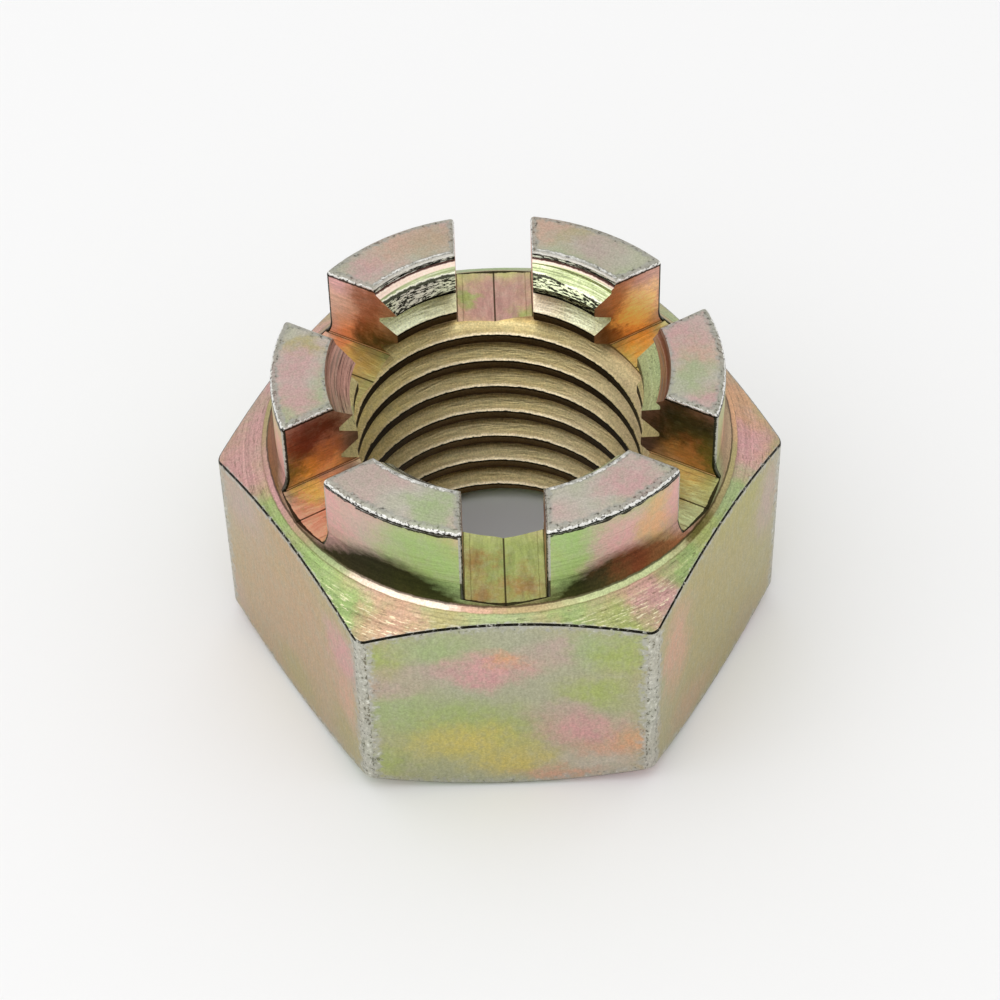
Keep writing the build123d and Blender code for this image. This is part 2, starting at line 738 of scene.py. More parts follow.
@dataclass(frozen=True)
class PassivatedZinc:
    """Zinc plate with a yellow chromate passivation, on machined steel.

    The film is a few hundred nanometres thick and shows interference colours that drift over
    centimetres from green to pink and orange. Under it is a satin metal that keeps the tool's marks.
    Where edges rub, the film is gone and bright, pitted zinc shows.
    """

    name: str
    cloud: tuple[Tint, ...]
    marks: Marks
    blooms: tuple[Bloom, ...] = ()
    drift: float = 9.0
    veil: float = 0.0
    grain: float = 0.14
    speckle: float = 0.1
    roughness: float = 0.42
    relief: float = 0.1
    wear: float = 0.5
    # Painted light: a factor that brightens the colour of a surface which the lighting leaves too dark.
    painted_light_gain: float = 1.0
    haze: float = 0.5
    zinc: tuple[tuple[float, str], ...] = BRIGHT_ZINC
    nut: CastleNut = field(default_factory=CastleNut)

    def film(self, places: NutPlaces, cloud: tuple[Tint, ...], blooms: Iterable[Bloom] = ()) -> Node:
        """Let tints drift into one another, and lay soft patches over them.

        Args:
            places: The nut's coordinates.
            cloud: The tints that drift, at least two.
            blooms: The patches.

        Returns:
            The film's colour.
        """
        add, point = places.add, places.point
        slow, swirl = (
            add("TexNoise", named={"Vector": point, "Scale": often, "Detail": detail, "Roughness": rough})
            for often, detail, rough in ((1 / self.drift, 1.5, 0.4), (0.3, 6.0, 0.72))
        )
        stops = [(0.3 + 0.4 * index / (len(cloud) - 1), tint) for index, tint in enumerate(cloud)]
        centred = add("VectorMath:SUBTRACT", swirl.outputs["Color"], (0.5, 0.5, 0.5))
        warped = add("VectorMath:MULTIPLY_ADD", centred, (8, 8, 5.5), point)
        layers = []
        for bloom in blooms:
            x, y, z = bloom.place
            along, up = (1 / reach for reach in bloom.reach)
            near = add("VectorMath:ADD", warped, (-x, -y, -z))
            away = add("VectorMath:LENGTH", add("VectorMath:MULTIPLY", near, (along, along, up)))
            layers.append((away, 1.15, 0.1, 0.92, bloom.tint))
        return places.lay(add("ValToRGB", slow, stops=stops), *layers, interpolation_type="SMOOTHSTEP")

    def root(self, places: NutPlaces) -> Layer:
        """Paint shade in specks at the foot of the crown, most of all in the middle of a land.

        Args:
            places: The nut's coordinates.

        Returns:
            The layer of painted shade.
        """
        # Painted shade: the dark band in the concave foot of the crown, under the lands.
        risen = places.shifted(places.height, places.noise((2.2, 2.6, 22.0), 4.0), 1.6)
        drop = places.add("MapRange", places.offset, 2.0, 10.4, -1.1, -3.7, interpolation_type="SMOOTHSTEP")
        at = places.add("Math:ADD", risen, drop)
        return (at, 24.8, 23.2, 0.97, self.film(places, ROOT_SHADE_CLOUD, ROOT_SHADE_BLOOMS))

    def turned_lines(self, places: NutPlaces) -> tuple[Layer, ...]:
        """Bright and dark lines that the lathe left in the countersink."""
        lines = places.noise((7.0, 7.0, 3.0), 2.0)
        return ((lines, 0.52, 0.6, 0.7, "#F0EED8"), (lines, 0.46, 0.38, 0.6, "#6E7458"))

    def chipped(self, places: NutPlaces, share: float, start: float) -> Node:
        """Zinc polished almost white by knocks and brightened further as a painted highlight, with dark
        chips.
        """
        chips = (places.grit(3.6), start, start + 0.03, 0.9, "#24231C")
        return places.lay(self.bare(places), wash(share, "#F6F5F0"), chips)

    def edges(self, places: NutPlaces) -> tuple[Feed, ...]:
        """Distances to the worn edges of this surface. Most have none."""
        return ()

    def painted(self, places: NutPlaces, colour: Node) -> Node:
        """Further marks of one surface over its film. Plain surfaces have none."""
        return colour

    def bare(self, places: NutPlaces, stops: Iterable[tuple[float, str]] = ()) -> Node:
        """Rubbed zinc: grey with glints and dark pits 0.2 to 0.4 mm across."""
        return places.add("ValToRGB", places.grit(2.5, 4.0), stops=stops or self.zinc)

    def material(self) -> bpy.types.Material:
        """Build the material.

        Returns:
            A Principled metal with its colour, roughness and relief.
        """
        material = bpy.data.materials.new(self.name)
        material.use_nodes = True
        material.node_tree.nodes.clear()
        places = NutPlaces(material.node_tree)
        add = places.add
        stretch, around = self.marks.value
        marks = places.noise(stretch, 4.0, around)
        mottle = places.noise((1.3, 1.3, 1.0), 5.0, around=False)
        film = places.lay(
            self.film(places, self.cloud, self.blooms),
            (mottle, 0.45, 0.68, self.haze, Tint.GREY),
            wash(self.veil, "#B3B0A8"),
        )
        colour = self.painted(places, film)
        # Painted light: the grain is scaled by the surface's brightening gain.
        streak = places.spread(marks, self.painted_light_gain * (1 - self.grain), self.painted_light_gain * (1 + self.grain))
        dust = places.spread(places.grit(5.5, 2.0), 1 - self.speckle, 1 + self.speckle)
        colour = add("VectorMath:SCALE", colour, named={"Scale": add("Math:MULTIPLY", streak, dust)})
        edges = self.edges(places)
        if edges:
            nearest = reduce(partial(add, "Math:MINIMUM"), edges)
            strayed = places.spread(places.grit(1.6, 4.0), -self.wear, self.wear)
            near = add("Math:ADD", nearest, strayed)
            colour = places.lay(colour, (near, 1.2 * self.wear, 0.0, 0.9, self.bare(places)))
        relief = add("Bump", named={"Height": marks, "Distance": self.relief * MM, "Strength": 0.6})
        shader = add("BsdfPrincipled", named={
            "Base Color": colour, "Metallic": 1.0, "Roughness": self.roughness, "Normal": relief,
        })
        add("OutputMaterial", named={"Surface": shader})
        return material


class FlatFinish(PassivatedZinc):
    """A flat of the drawn hexagon. It rubs bright along all four of its edges."""

    def edges(self, places: NutPlaces) -> tuple[Feed, ...]:
        """Measure to the rounded corner, the shoulder's arc and the bearing chamfer's arc.

        Args:
            places: The nut's coordinates.

        Returns:
            The three distances.
        """
        add, nut = places.add, self.nut
        corner = add("Math:SUBTRACT", nut.flat_half_width, places.offset)
        beyond = add("Math:SUBTRACT", places.radius, nut.crown_radius)
        level = places.shifted(nut.shoulder_height, beyond, -slope(nut.shoulder_slope))
        top = add("Math:SUBTRACT", level, places.height)
        outside = add("Math:SUBTRACT", places.radius, nut.bearing_radius)
        return corner, top, places.shifted(places.height, outside, -slope(nut.bearing_chamfer))


class ShoulderFinish(PassivatedZinc):
    """The turned shoulder and the root of the crown."""

    def edges(self, places: NutPlaces) -> tuple[Feed, ...]:
        """Distance to the plane of the nearest flat."""
        return (places.add("Math:SUBTRACT", self.nut.across_flats / 2, places.apothem),)

    def painted(self, places: NutPlaces, colour: Node) -> Node:
        """Lay the root's painted shade, the painted highlight of the bright ring, and painted glints on the
        turning marks over the film.

        Args:
            places: The nut's coordinates.
            colour: The film.

        Returns:
            The dressed colour.
        """
        add, root = places.add, self.nut.crown_radius
        at = places.shifted(places.radius, places.grit(0.9), 0.2)
        # The ring is a painted highlight on the fillet, and the foot takes the root's painted shade.
        ring = self.film(places, RING_HIGHLIGHT_CLOUD, RING_HIGHLIGHT_BLOOMS)
        foot = places.lay(self.film(places, self.cloud, CROWN_WALL_BLOOMS), self.root(places))
        edge = add("Math:ABSOLUTE", add("Math:ADD", at, -root - 0.95))
        front = add("MapRange", places.depth, -11.0, -16.0)
        share = add("MapRange", front, 0.0, 1.0, 0.35, 1.0)
        calm = add("MapRange", front, 0.0, 1.0, 0.325, 0.0)
        rings = add("Math:MULTIPLY_ADD", places.noise((4.2, 0.0, 1.2), 2.0), share, calm)
        dashes = places.noise((6.0, 6.0, 22.0), 2.0)
        # Painted glints: bright dashes on the turning marks near the front corners stand in for the lamp's
        # reflection.
        seen = add("MapRange", dashes, 0.57, 0.63, 0.0, 0.8)
        glint = add("Math:MULTIPLY", seen, add("MapRange", places.radius, 22.6, 24.2))
        return places.lay(
            colour,
            (rings, 0.5, 0.66, 0.28, "#6F6A48"),
            (rings, 0.46, 0.34, 0.22, "#D8CBA0"),
            (dashes, 0.4, 0.34, 0.45, "#4E4A30"),
            (add("Math:MULTIPLY", glint, front), 0.0, 1.0, 1.0, "#F2EBC4"),
            (at, root + 1.58, root + 1.48, 0.45, "#6E5A3C"),
            # Painted highlight of the ring, then painted shade at the foot of the crown.
            (at, root + 1.48, root + 1.4, 1.0, ring),
            (at, root + 0.95, root + 0.88, 1.0, foot),
            (edge, 0.1, 0.04, 0.8, "#3A2C18"),
        )


class CrownWallFinish(PassivatedZinc):
    """The crown's turned outside, darkened towards its root with painted shade."""

    def edges(self, places: NutPlaces) -> tuple[Feed, ...]:
        """Measure to the rim above and the slot beside.

        Args:
            places: The nut's coordinates.

        Returns:
            The two distances. Wear reaches a third as far from the slot.
        """
        add, nut = places.add, self.nut
        side = add("Math:SUBTRACT", places.offset, nut.slot_width / 2 + nut.slot_round)
        top = add("Math:SUBTRACT", nut.height - nut.crown_rim_round, places.height)
        return top, add("Math:MULTIPLY", side, 3.0)

    def painted(self, places: NutPlaces, colour: Node) -> Node:
        """Paint shade on the foot, and draw the ragged line under the rim.

        Args:
            places: The nut's coordinates.
            colour: The film.

        Returns:
            The dressed colour.
        """
        at = places.shifted(places.height, places.noise((2.4, 2.4, 16.0), 4.0), 1.4)
        line = self.nut.height - self.nut.crown_rim_round + 0.67
        # The root layer is painted shade.
        return places.lay(colour, self.root(places), (at, line - 0.22, line - 0.16, 0.95, "#1E1D17"))


class CrownTopFinish(PassivatedZinc):
    """The faced tops of the six lands, greyed by handling."""

    def edges(self, places: NutPlaces) -> tuple[Feed, ...]:
        """Measure to the crown's rim, its mouth and a slot.

        Args:
            places: The nut's coordinates.

        Returns:
            The three distances.
        """
        add, nut = places.add, self.nut
        outer = add("Math:SUBTRACT", nut.crown_radius - nut.crown_rim_round, places.radius)
        inner = add("Math:SUBTRACT", places.radius, nut.mouth_radius)
        return outer, inner, add("Math:SUBTRACT", places.offset, nut.slot_width / 2 + nut.slot_round)

    def painted(self, places: NutPlaces, colour: Node) -> Node:
        """Rub the mouth's border white, less so at the sides; the white is worn zinc and a painted highlight.

        Args:
            places: The nut's coordinates.
            colour: The film.

        Returns:
            The dressed colour.
        """
        dull = places.add("MapRange", places.aside, 11.0, 14.0, 0.0, 0.6)
        strayed = places.shifted(dull, places.grit(2.4, 4.0), 0.7)
        at = places.add("Math:ADD", strayed, places.radius)
        border = self.nut.mouth_radius + 0.35
        return places.lay(
            colour,
            (at, border + 0.5, border + 0.36, 0.6, "#8C8B82"),
            # Worn zinc and a painted highlight along the mouth's border.
            (at, border + 0.36, border + 0.26, 0.97, self.chipped(places, 0.8, 0.6)),
        )


class SlotWallFinish(PassivatedZinc):
    """A milled slot wall, with the cutter's fine arcs and a painted highlight along the line where it meets
    the floor.
    """

    def painted(self, places: NutPlaces, colour: Node) -> Node:
        """Darken the wall towards the thread, and draw a dark line and a painted highlight at its foot.

        Args:
            places: The nut's coordinates.
            colour: The film.

        Returns:
            The dressed colour.
        """
        foot = self.nut.slot_corner
        return places.lay(
            colour,
            (places.shifted(places.radius, places.height, 0.35), 25.4, 23.2, 0.6, Tint.UMBER),
            (places.shifted(places.height, places.grit(2.4, 4.0), 0.3), 31.95, 32.02, 0.9, "#1E1D17"),
            (places.height, foot + 0.3, foot + 0.24, 0.8, "#3A2814"),
            # Painted highlight along the wall's foot.
            (places.height, foot + 0.18, foot + 0.12, 0.9, "#F0CDB4"),
        )


class SlotFloorFinish(PassivatedZinc):
    """The floor of a slot. The cutter left a line along its middle and one beside each wall."""

    def painted(self, places: NutPlaces, colour: Node) -> Node:
        """Score the lines into the film, and darken both ends of the floor.

        Args:
            places: The nut's coordinates.
            colour: The film.

        Returns:
            The dressed colour.
        """
        wobble, offset, end = places.grit(0.7), places.offset, self.nut.crown_radius
        across = places.shifted(offset, wobble, 0.16)
        beside = places.add("Math:ABSOLUTE", places.add("Math:SUBTRACT", across, 3.12))
        return places.lay(
            colour,
            (beside, 0.08, 0.02, 0.4, "#4E4622"),
            (offset, 3.52, 3.6, 0.85, "#2E2A14"),
            (offset, 0.11, 0.06, 0.9, "#2E2614"),
            (places.shifted(places.radius, wobble, 0.5), end + 0.66, end + 0.7, 0.95, "#231E10"),
        )


class MouthFinish(PassivatedZinc):
    """The countersink at the crown: a battered lip, turned bands, and torn metal down to the first crest."""

    def painted(self, places: NutPlaces, colour: Node) -> Node:
        """Lay the bands by radius and the lip by height, where the surface belongs to the crown.

        Args:
            places: The nut's coordinates.
            colour: The film.

        Returns:
            The dressed colour.
        """
        nut, wobble = self.nut, places.grit(2.6)
        lines = places.noise((7.0, 7.0, 3.0), 2.0)
        scraps = places.noise((8.0, 8.0, 24.0))
        leaning = places.shifted(places.radius, places.side, 0.02)
        outer = places.shifted(leaning, places.side, -0.035)
        inward = places.shifted(leaning, wobble, 0.3)
        level = places.shifted(places.height, wobble, 0.16)
        worn = self.film(places, SCRAP_CLOUD, SCRAP_BLOOMS)
        torn = places.lay(worn, (scraps, 0.51, 0.47, 0.97, "#1B1912"))
        lip = places.lay(
            worn,
            wash(0.6, "#DEDDD2"),
            (lines, 0.53, 0.49, 0.9, "#3A352A"),
            (scraps, 0.52, 0.48, 0.95, "#151310"),
        )
        brown = places.lay(self.film(places, SIDE_CLOUD, SIDE_BLOOMS), (lines, 0.52, 0.62, 0.7, "#2A1A14"))
        start, edge, middle = 14.62, nut.lip_height + 0.08, nut.height / 2
        dressed = places.lay(
            colour,
            *self.turned_lines(places),
            (outer, start + 0.48, start + 0.54, 0.95, "#FFE4D4"),
            (inward, start + 0.16, start + 0.1, 0.9, "#F2F0DC"),
            (inward, start + 0.04, start - 0.02, 0.95, "#2A2C1C"),
            (inward, start - 0.2, start - 0.24, 1.0, torn),
            (level, edge - 0.06, edge, 0.95, "#3A120C"),
            (level, edge + 0.14, edge + 0.18, 1.0, lip),
            # Worn zinc and a painted highlight along the top edge.
            (level, nut.height - 0.22, nut.height - 0.16, 0.92, "#F4F2EA"),
            (places.aside, 11.9, 12.4, 0.85, brown),
        )
        return places.lay(colour, (places.height, middle, middle + 0.1, 1.0, dressed))


class ThreadFinish(PassivatedZinc):
    """The tapped thread: crests darkened by painted shade under a painted highlight on their upper edge,
    flanks darkened by painted shade towards the crest above, painted light on the first full flank, and a
    torn first crest.
    """

    def painted(self, places: NutPlaces, colour: Node) -> Node:
        """Lay the bands along the helix, with their painted shade and highlight, and paint light on the first
        full flank.

        Args:
            places: The nut's coordinates.
            colour: The film, whose tint the flanks keep a little of.

        Returns:
            The dressed colour.
        """
        add, nut = places.add, self.nut
        risen = add("Math:SUBTRACT", places.height, nut.crest_height_at_x)
        turned = places.shifted(risen, places.turn, -nut.pitch / math.tau)
        rough = add("Math:ADD", turned, places.spread(places.grit(1.8), -0.04, 0.04))
        phase = add("Math:FRACT", add("Math:MULTIPLY", rough, 1 / nut.pitch))
        # Painted shade on the crests and the flanks' upper parts, and a painted highlight at each crest's
        # upper edge.
        side_bands_and_shade = add("ValToRGB", phase, stops=SIDE_BANDS_AND_PAINTED_SHADE)
        bands_and_shade = places.lay(add("ValToRGB", phase, stops=BACK_BANDS_AND_PAINTED_SHADE), (places.aside, 5.0, 12.0, 0.9, side_bands_and_shade))
        tinted = places.lay(bands_and_shade, (phase, 0.29, 0.33, 0.35, colour))
        # Painted light on the first full flank below the torn crest, which light reaches through the slots.
        upper = self.film(places, (Tint.KHAKI, Tint.KHAKI), UPPER_FLANK_LIGHT_BLOOMS)
        lit_first_flank = places.lay(bands_and_shade, wash(0.92, upper))
        second = add("Math:SUBTRACT", turned, nut.pitch)
        ceiling = add("MapRange", second, 3.3, 3.5, 1.0, 0.0)
        flank = add("Math:MULTIPLY", add("MapRange", second, 0.98, 1.06), ceiling)
        scraps = places.noise((8.0, 8.0, 24.0))
        torn = places.lay(self.film(places, SCRAP_CLOUD, SCRAP_BLOOMS), (scraps, 0.55, 0.51, 0.97, "#16140E"))
        calm = places.lay(self.film(places, (Tint.GREEN, Tint.KHAKI)), (scraps, 0.58, 0.64, 0.6, "#3A3A24"))
        clean = places.lay(self.film(places, (Tint.LIME, Tint.LIME)), *self.turned_lines(places))
        above = add("Math:SUBTRACT", rough, 2 * nut.pitch)
        outside = add("Math:SUBTRACT", places.aside, 12.0)
        sides = add("Math:MINIMUM", outside, add("Math:SUBTRACT", above, 0.2))
        return places.lay(
            tinted,
            (flank, 0.0, 1.0, 0.9, lit_first_flank),
            (above, -0.05, 0.02, 1.0, "#100E08"),
            (above, 0.2, 0.26, 1.0, torn),
            (above, 1.34, 1.38, 1.0, "#F6F4E0"),
            (above, 1.43, 1.48, 1.0, clean),
            (sides, 0.0, 0.2, 0.95, calm),
        )


class WornCornerFinish(PassivatedZinc):
    """The hexagon's long corners, rubbed down to pitted zinc."""

    def painted(self, places: NutPlaces, colour: Node) -> Node:
        """Rub the film away, and leave dark pits along both borders.

        Args:
            places: The nut's coordinates.
            colour: The film.

        Returns:
            The dressed colour.
        """
        border = places.add("Math:SUBTRACT", places.offset, self.nut.flat_half_width)
        pitted = places.shifted(places.noise((2.8, 2.8, 2.0), around=False), border, -0.35)
        worn = places.lay(self.bare(places), (pitted, 0.49, 0.56, 0.85, "#4A4840"))
        return places.lay(colour, wash(0.82, worn))


class ArrisFinish(PassivatedZinc):
    """The sharp arc between shoulder and flat: a dirty line broken by bare metal."""

    def painted(self, places: NutPlaces, colour: Node) -> Node:
        """Break a dark line with bright spots."""
        stops = ((0.52, "#1F1E18"), (0.6, "#55544B"), (0.64, "#98978D"), (0.72, "#C9C8C0"))
        return places.add("ValToRGB", places.grit(1.9), stops=stops)


class RimFinish(PassivatedZinc):
    """The rounded rims of the crown: bright on top with worn zinc and a painted highlight, with a ragged dark
    line where the film begins again.
    """

    def painted(self, places: NutPlaces, colour: Node) -> Node:
        """Lay the rim by height, and the slots' upright rims by their distance from the slot.

        Args:
            places: The nut's coordinates.
            colour: The film under the wear.

        Returns:
            The dressed colour.
        """
        strayed = places.spread(places.grit(2.4, 4.0), -0.09, 0.09)
        level = places.add("Math:ADD", places.height, strayed)
        across = places.add("Math:ADD", places.offset, strayed)
        wall, top = self.nut.slot_width / 2, self.nut.height
        grey = wash(0.75, self.bare(places, DULL_ZINC))
        faced = places.lay(self.film(places, (Tint.SILVER, Tint.GREY), CROWN_TOP_BLOOMS), grey)
        return places.lay(
            colour,
            # Worn zinc and a painted highlight on the slots' upright rims, with a dark line beside the wall.
            (across, wall + 0.26, wall + 0.2, 0.8, "#B9B8AE"),
            (across, wall + 0.13, wall + 0.07, 0.95, "#26251D"),
            (level, top - 0.6, top - 0.55, 0.97, "#1B1A15"),
            # Worn zinc and a painted highlight on top of the rim.
            (level, top - 0.36, top - 0.32, 1.0, self.chipped(places, 0.75, 0.57)),
            (level, top - 0.15, top - 0.11, 1.0, faced),
            # Painted shade: the rims grow darker towards the foot of the crown.
            (places.height, 27.2, 25.6, 0.85, Tint.PITCH),
        )


# The finish of each surface

T = Tint


def bloomed(*rows: tuple[float, float, float, float, float, Tint]) -> tuple[Bloom, ...]:
    """Turn rows of place, two reaches and tint into blooms."""
    return tuple(Bloom(row[:3], row[3:5], row[5]) for row in rows)


# Painted highlight: the bright ring on the fillet at the crown's foot.
RING_HIGHLIGHT_CLOUD = (T.KHAKI, T.TAN)
RING_HIGHLIGHT_BLOOMS = bloomed(
    (-20, -6, 24, 7, 7, T.PINK), (-15.6, -14.8, 24, 5, 5, T.GREEN), (17.4, -12, 24, 5, 6, T.MOSS),
    (20.6, -4, 24, 6, 6, T.KHAKI), (21, 2, 24, 5, 6, T.ORANGE), (-10.2, -19.1, 24, 5.5, 5, T.CREAM),
    (-5.6, -21.2, 24, 4.5, 5, T.CREAM), (-2.5, -21.8, 24, 3, 3, T.SALMON), (8.4, -20, 24, 6, 6, T.LIME),
    (13, -17.2, 24, 4.5, 4.5, T.LIME),
)
# Painted shade at the foot of the crown.
ROOT_SHADE_CLOUD = (T.PITCH, T.MOSS)
ROOT_SHADE_BLOOMS = bloomed(
    (-12, -17, 25.5, 10, 9, T.PITCH), (6.5, -19.7, 25.7, 5, 5, T.PITCH),
    (11.5, -17.3, 25.7, 4, 6, T.RUST), (15.2, -14, 25.5, 5, 5, T.BROWN), (-21, -1, 25, 9, 7, T.BROWN),
    (21, -2, 25, 8, 7, T.TAN),
)
SCRAP_CLOUD = (T.SILVER, T.LIME)
SCRAP_BLOOMS = bloomed(
    (-8, 13, 31, 7, 7, T.SILVER), (-14.5, 0, 31, 6, 6, T.ROSE), (15, 0, 32, 6, 6, T.BROWN),
    (7, 13, 30.5, 7, 7, T.PALE),
)
SIDE_CLOUD = (T.BROWN, T.ROSE, T.GREEN)
SIDE_BLOOMS = bloomed((-15.3, 0, 31, 8, 6, T.ROSE), (15.3, 0, 31, 8, 6, T.BROWN))
THREAD_BLOOMS = bloomed(
    (-12, 5, 22, 11, 20, T.WHEAT), (12, 5, 22, 11, 20, T.MAUVE), (0, 13, 22, 9, 20, T.SAND),
)
# Painted light on the thread's first full flank.
UPPER_FLANK_LIGHT_BLOOMS = bloomed(
    (-9, 11, 28.5, 9, 5, T.FROST), (5, 13, 28, 6, 3, T.CREAM), (8.5, 11, 28, 6, 3, T.FROST),
)
FLAT_BLOOMS = bloomed(
    (20, -11.5, 11, 23, 34, T.KHAKI), (-20, -11.5, 11, 23, 34, T.TAN), (0, -23, 11, 19, 30, T.GREY),
    (-11.3, -23, 19.3, 2.6, 2.6, T.OLIVE), (-6.6, -23, 20.1, 5, 3, T.GREEN),
    (-9.9, -23, 11.3, 6, 5, T.GREEN), (-4.7, -23, 11, 5, 2.6, T.GREEN), (-10.9, -23, 14.7, 4, 2, T.MAUVE),
    (-6.1, -23, 17, 4.4, 2.2, T.MAUVE), (-1.6, -23, 17.4, 6, 2.6, T.PINK),
    (-1.9, -23, 15.6, 3.6, 2, T.PINK), (-0.5, -23, 18.4, 2.3, 1.8, T.ORANGE),
    (4.1, -23, 19.5, 3.8, 2.6, T.MAUVE), (8, -23, 19.3, 3.6, 3.6, T.GREEN),
    (10.1, -23, 18.3, 3.2, 3.2, T.OLIVE), (8, -23, 13.3, 4.6, 3, T.OLIVE),
    (4.7, -23, 10.5, 4.2, 2.8, T.MAUVE), (-3, -23, 8, 9.5, 5.5, T.OLIVE),
    (-3.9, -23, 6.6, 7.2, 3.8, T.WHEAT), (0.5, -23, 3.4, 5.5, 3, T.WHEAT),
    (-11.4, -23, 4.4, 3.4, 3.4, T.OLIVE), (6.8, -23, 7.9, 5.6, 3.8, T.PINK),
    (9, -23, 4.8, 4.6, 3, T.SALMON), (11.1, -23, 6.2, 3, 2.4, T.ORANGE),
    (7.7, -23, 2.9, 5.4, 2.2, T.SILVER), (4.6, -23, 1.6, 4.8, 1.4, T.SALMON),
    (-24.4, -3.8, 19.3, 6, 5, T.MAUVE), (-19.7, -11.9, 3.4, 6, 4, T.KHAKI),
    (-15.1, -19.9, 4.7, 4, 4, T.KHAKI), (-14.8, -20.4, 16.3, 3.6, 5, T.PINK),
    (-14.8, -20.4, 10.2, 3.4, 4, T.SALMON), (-8, 23, 15, 8, 5, T.MAUVE), (5, 23, 7, 9, 5, T.OLIVE),
    (9, 23, 17, 6, 4, T.KHAKI), (-3, 23, 4, 7, 3, T.GOLD), (-20, 13, 16, 9, 5, T.GREEN),
    (-22, 9, 7, 7, 5, T.MAUVE), (-14, 20, 8, 6, 6, T.OLIVE), (20, 12, 17, 8, 5, T.PINK),
    (17, 17, 8, 8, 5, T.GREEN), (24, 5, 9, 6, 7, T.KHAKI), (17.2, -16.2, 3.3, 6, 4, T.TAN),
    (15.4, -19.3, 15, 3.6, 8, T.SALMON), (25.2, -2.4, 16, 3.6, 7, T.MAUVE),
)
SHOULDER_BLOOMS = bloomed(
    (-24.1, -2.5, 22.4, 6, 9, T.PINK), (-22, 2.5, 23.3, 5, 9, T.PINK), (-21, 8, 23.3, 5, 9, T.PINK),
    (-19.7, -9.6, 23.7, 4.8, 9, T.LEAF), (-17.4, -15, 22.9, 5.4, 9, T.LEAF),
    (-13.8, -19.4, 22.4, 4, 9, T.LEAF), (-12.1, -22.5, 21.8, 2.6, 9, T.TAN),
    (-8.9, -22.2, 22.8, 3.6, 9, T.SALMON), (-5, -22.8, 22.8, 3.4, 9, T.KHAKI),
    (0, -22.8, 23.2, 4.2, 9, T.GREEN), (6.5, -22.5, 22.9, 4.4, 9, T.LEAF),
    (10.5, -22, 22.4, 4, 9, T.OLIVE), (14.2, -20.2, 22.2, 3.9, 9, T.PINK),
    (16.7, -16, 23.1, 3.6, 9, T.LEAF), (18.3, -11.9, 23.8, 3.6, 9, T.OLIVE),
    (20.8, -8, 23.8, 3, 9, T.GREEN), (22.2, -3, 23.5, 4.4, 9, T.PINK), (22.9, -0.2, 23.2, 4, 9, T.PINK),
    (22.4, 4, 23.4, 4.6, 9, T.ORANGE), (22.5, 9, 22.9, 4, 9, T.TAN),
)
CROWN_WALL_BLOOMS = bloomed(
    (-15.5, -13.8, 28, 6.5, 9, T.PINK), (-11.9, -17, 28, 4, 9, T.MAUVE),
    (-9.2, -18.6, 28, 3.6, 9, T.GREEN), (-6, -19.9, 27, 4.6, 9, T.LEAF), (4.8, -20.3, 27, 4.4, 9, T.LEAF),
    (9, -18.7, 27.5, 3, 6, T.MAUVE), (10.6, -17.9, 28.6, 3.4, 5, T.PINK),
    (14.1, -15.3, 28.6, 3.6, 4.5, T.ORANGE), (16.6, -12.8, 28.5, 3.4, 9, T.PINK),
)
CROWN_TOP_BLOOMS = bloomed(
    (-14, 14.5, 32.4, 3, 9, T.GREY), (-11.4, 13.9, 32.4, 3, 9, T.PINK),
    (-9.3, 16.7, 32.4, 4, 9, T.SALMON), (-6, 17.2, 32.4, 3.4, 9, T.TAN), (5, 18.8, 32.4, 4, 9, T.SALMON),
    (8.3, 17.2, 32.4, 2.6, 9, T.KHAKI), (10.1, 15.1, 32.4, 3.2, 9, T.MAUVE),
    (16.8, 3.3, 32.4, 2.8, 9, T.PINK), (18.4, 0.6, 32.4, 3.2, 9, T.SALMON),
    (17.8, -1.9, 32.4, 2.6, 9, T.GREEN), (-17.6, 3.5, 32.4, 2.4, 9, T.GOLD),
    (-18.9, 0.4, 32.4, 3.4, 9, T.PINK), (-18.4, -3.5, 32.4, 2.8, 9, T.PINK),
    (-12.9, -13, 32.4, 4.4, 9, T.MAUVE), (-6.4, -16.8, 32.4, 3, 9, T.LEAF),
    (-5.5, -18.6, 32.4, 2.6, 9, T.GREEN), (10.3, -15.2, 32.4, 3.2, 9, T.PINK),
    (12.4, -14.1, 32.4, 3.2, 9, T.PINK),
)
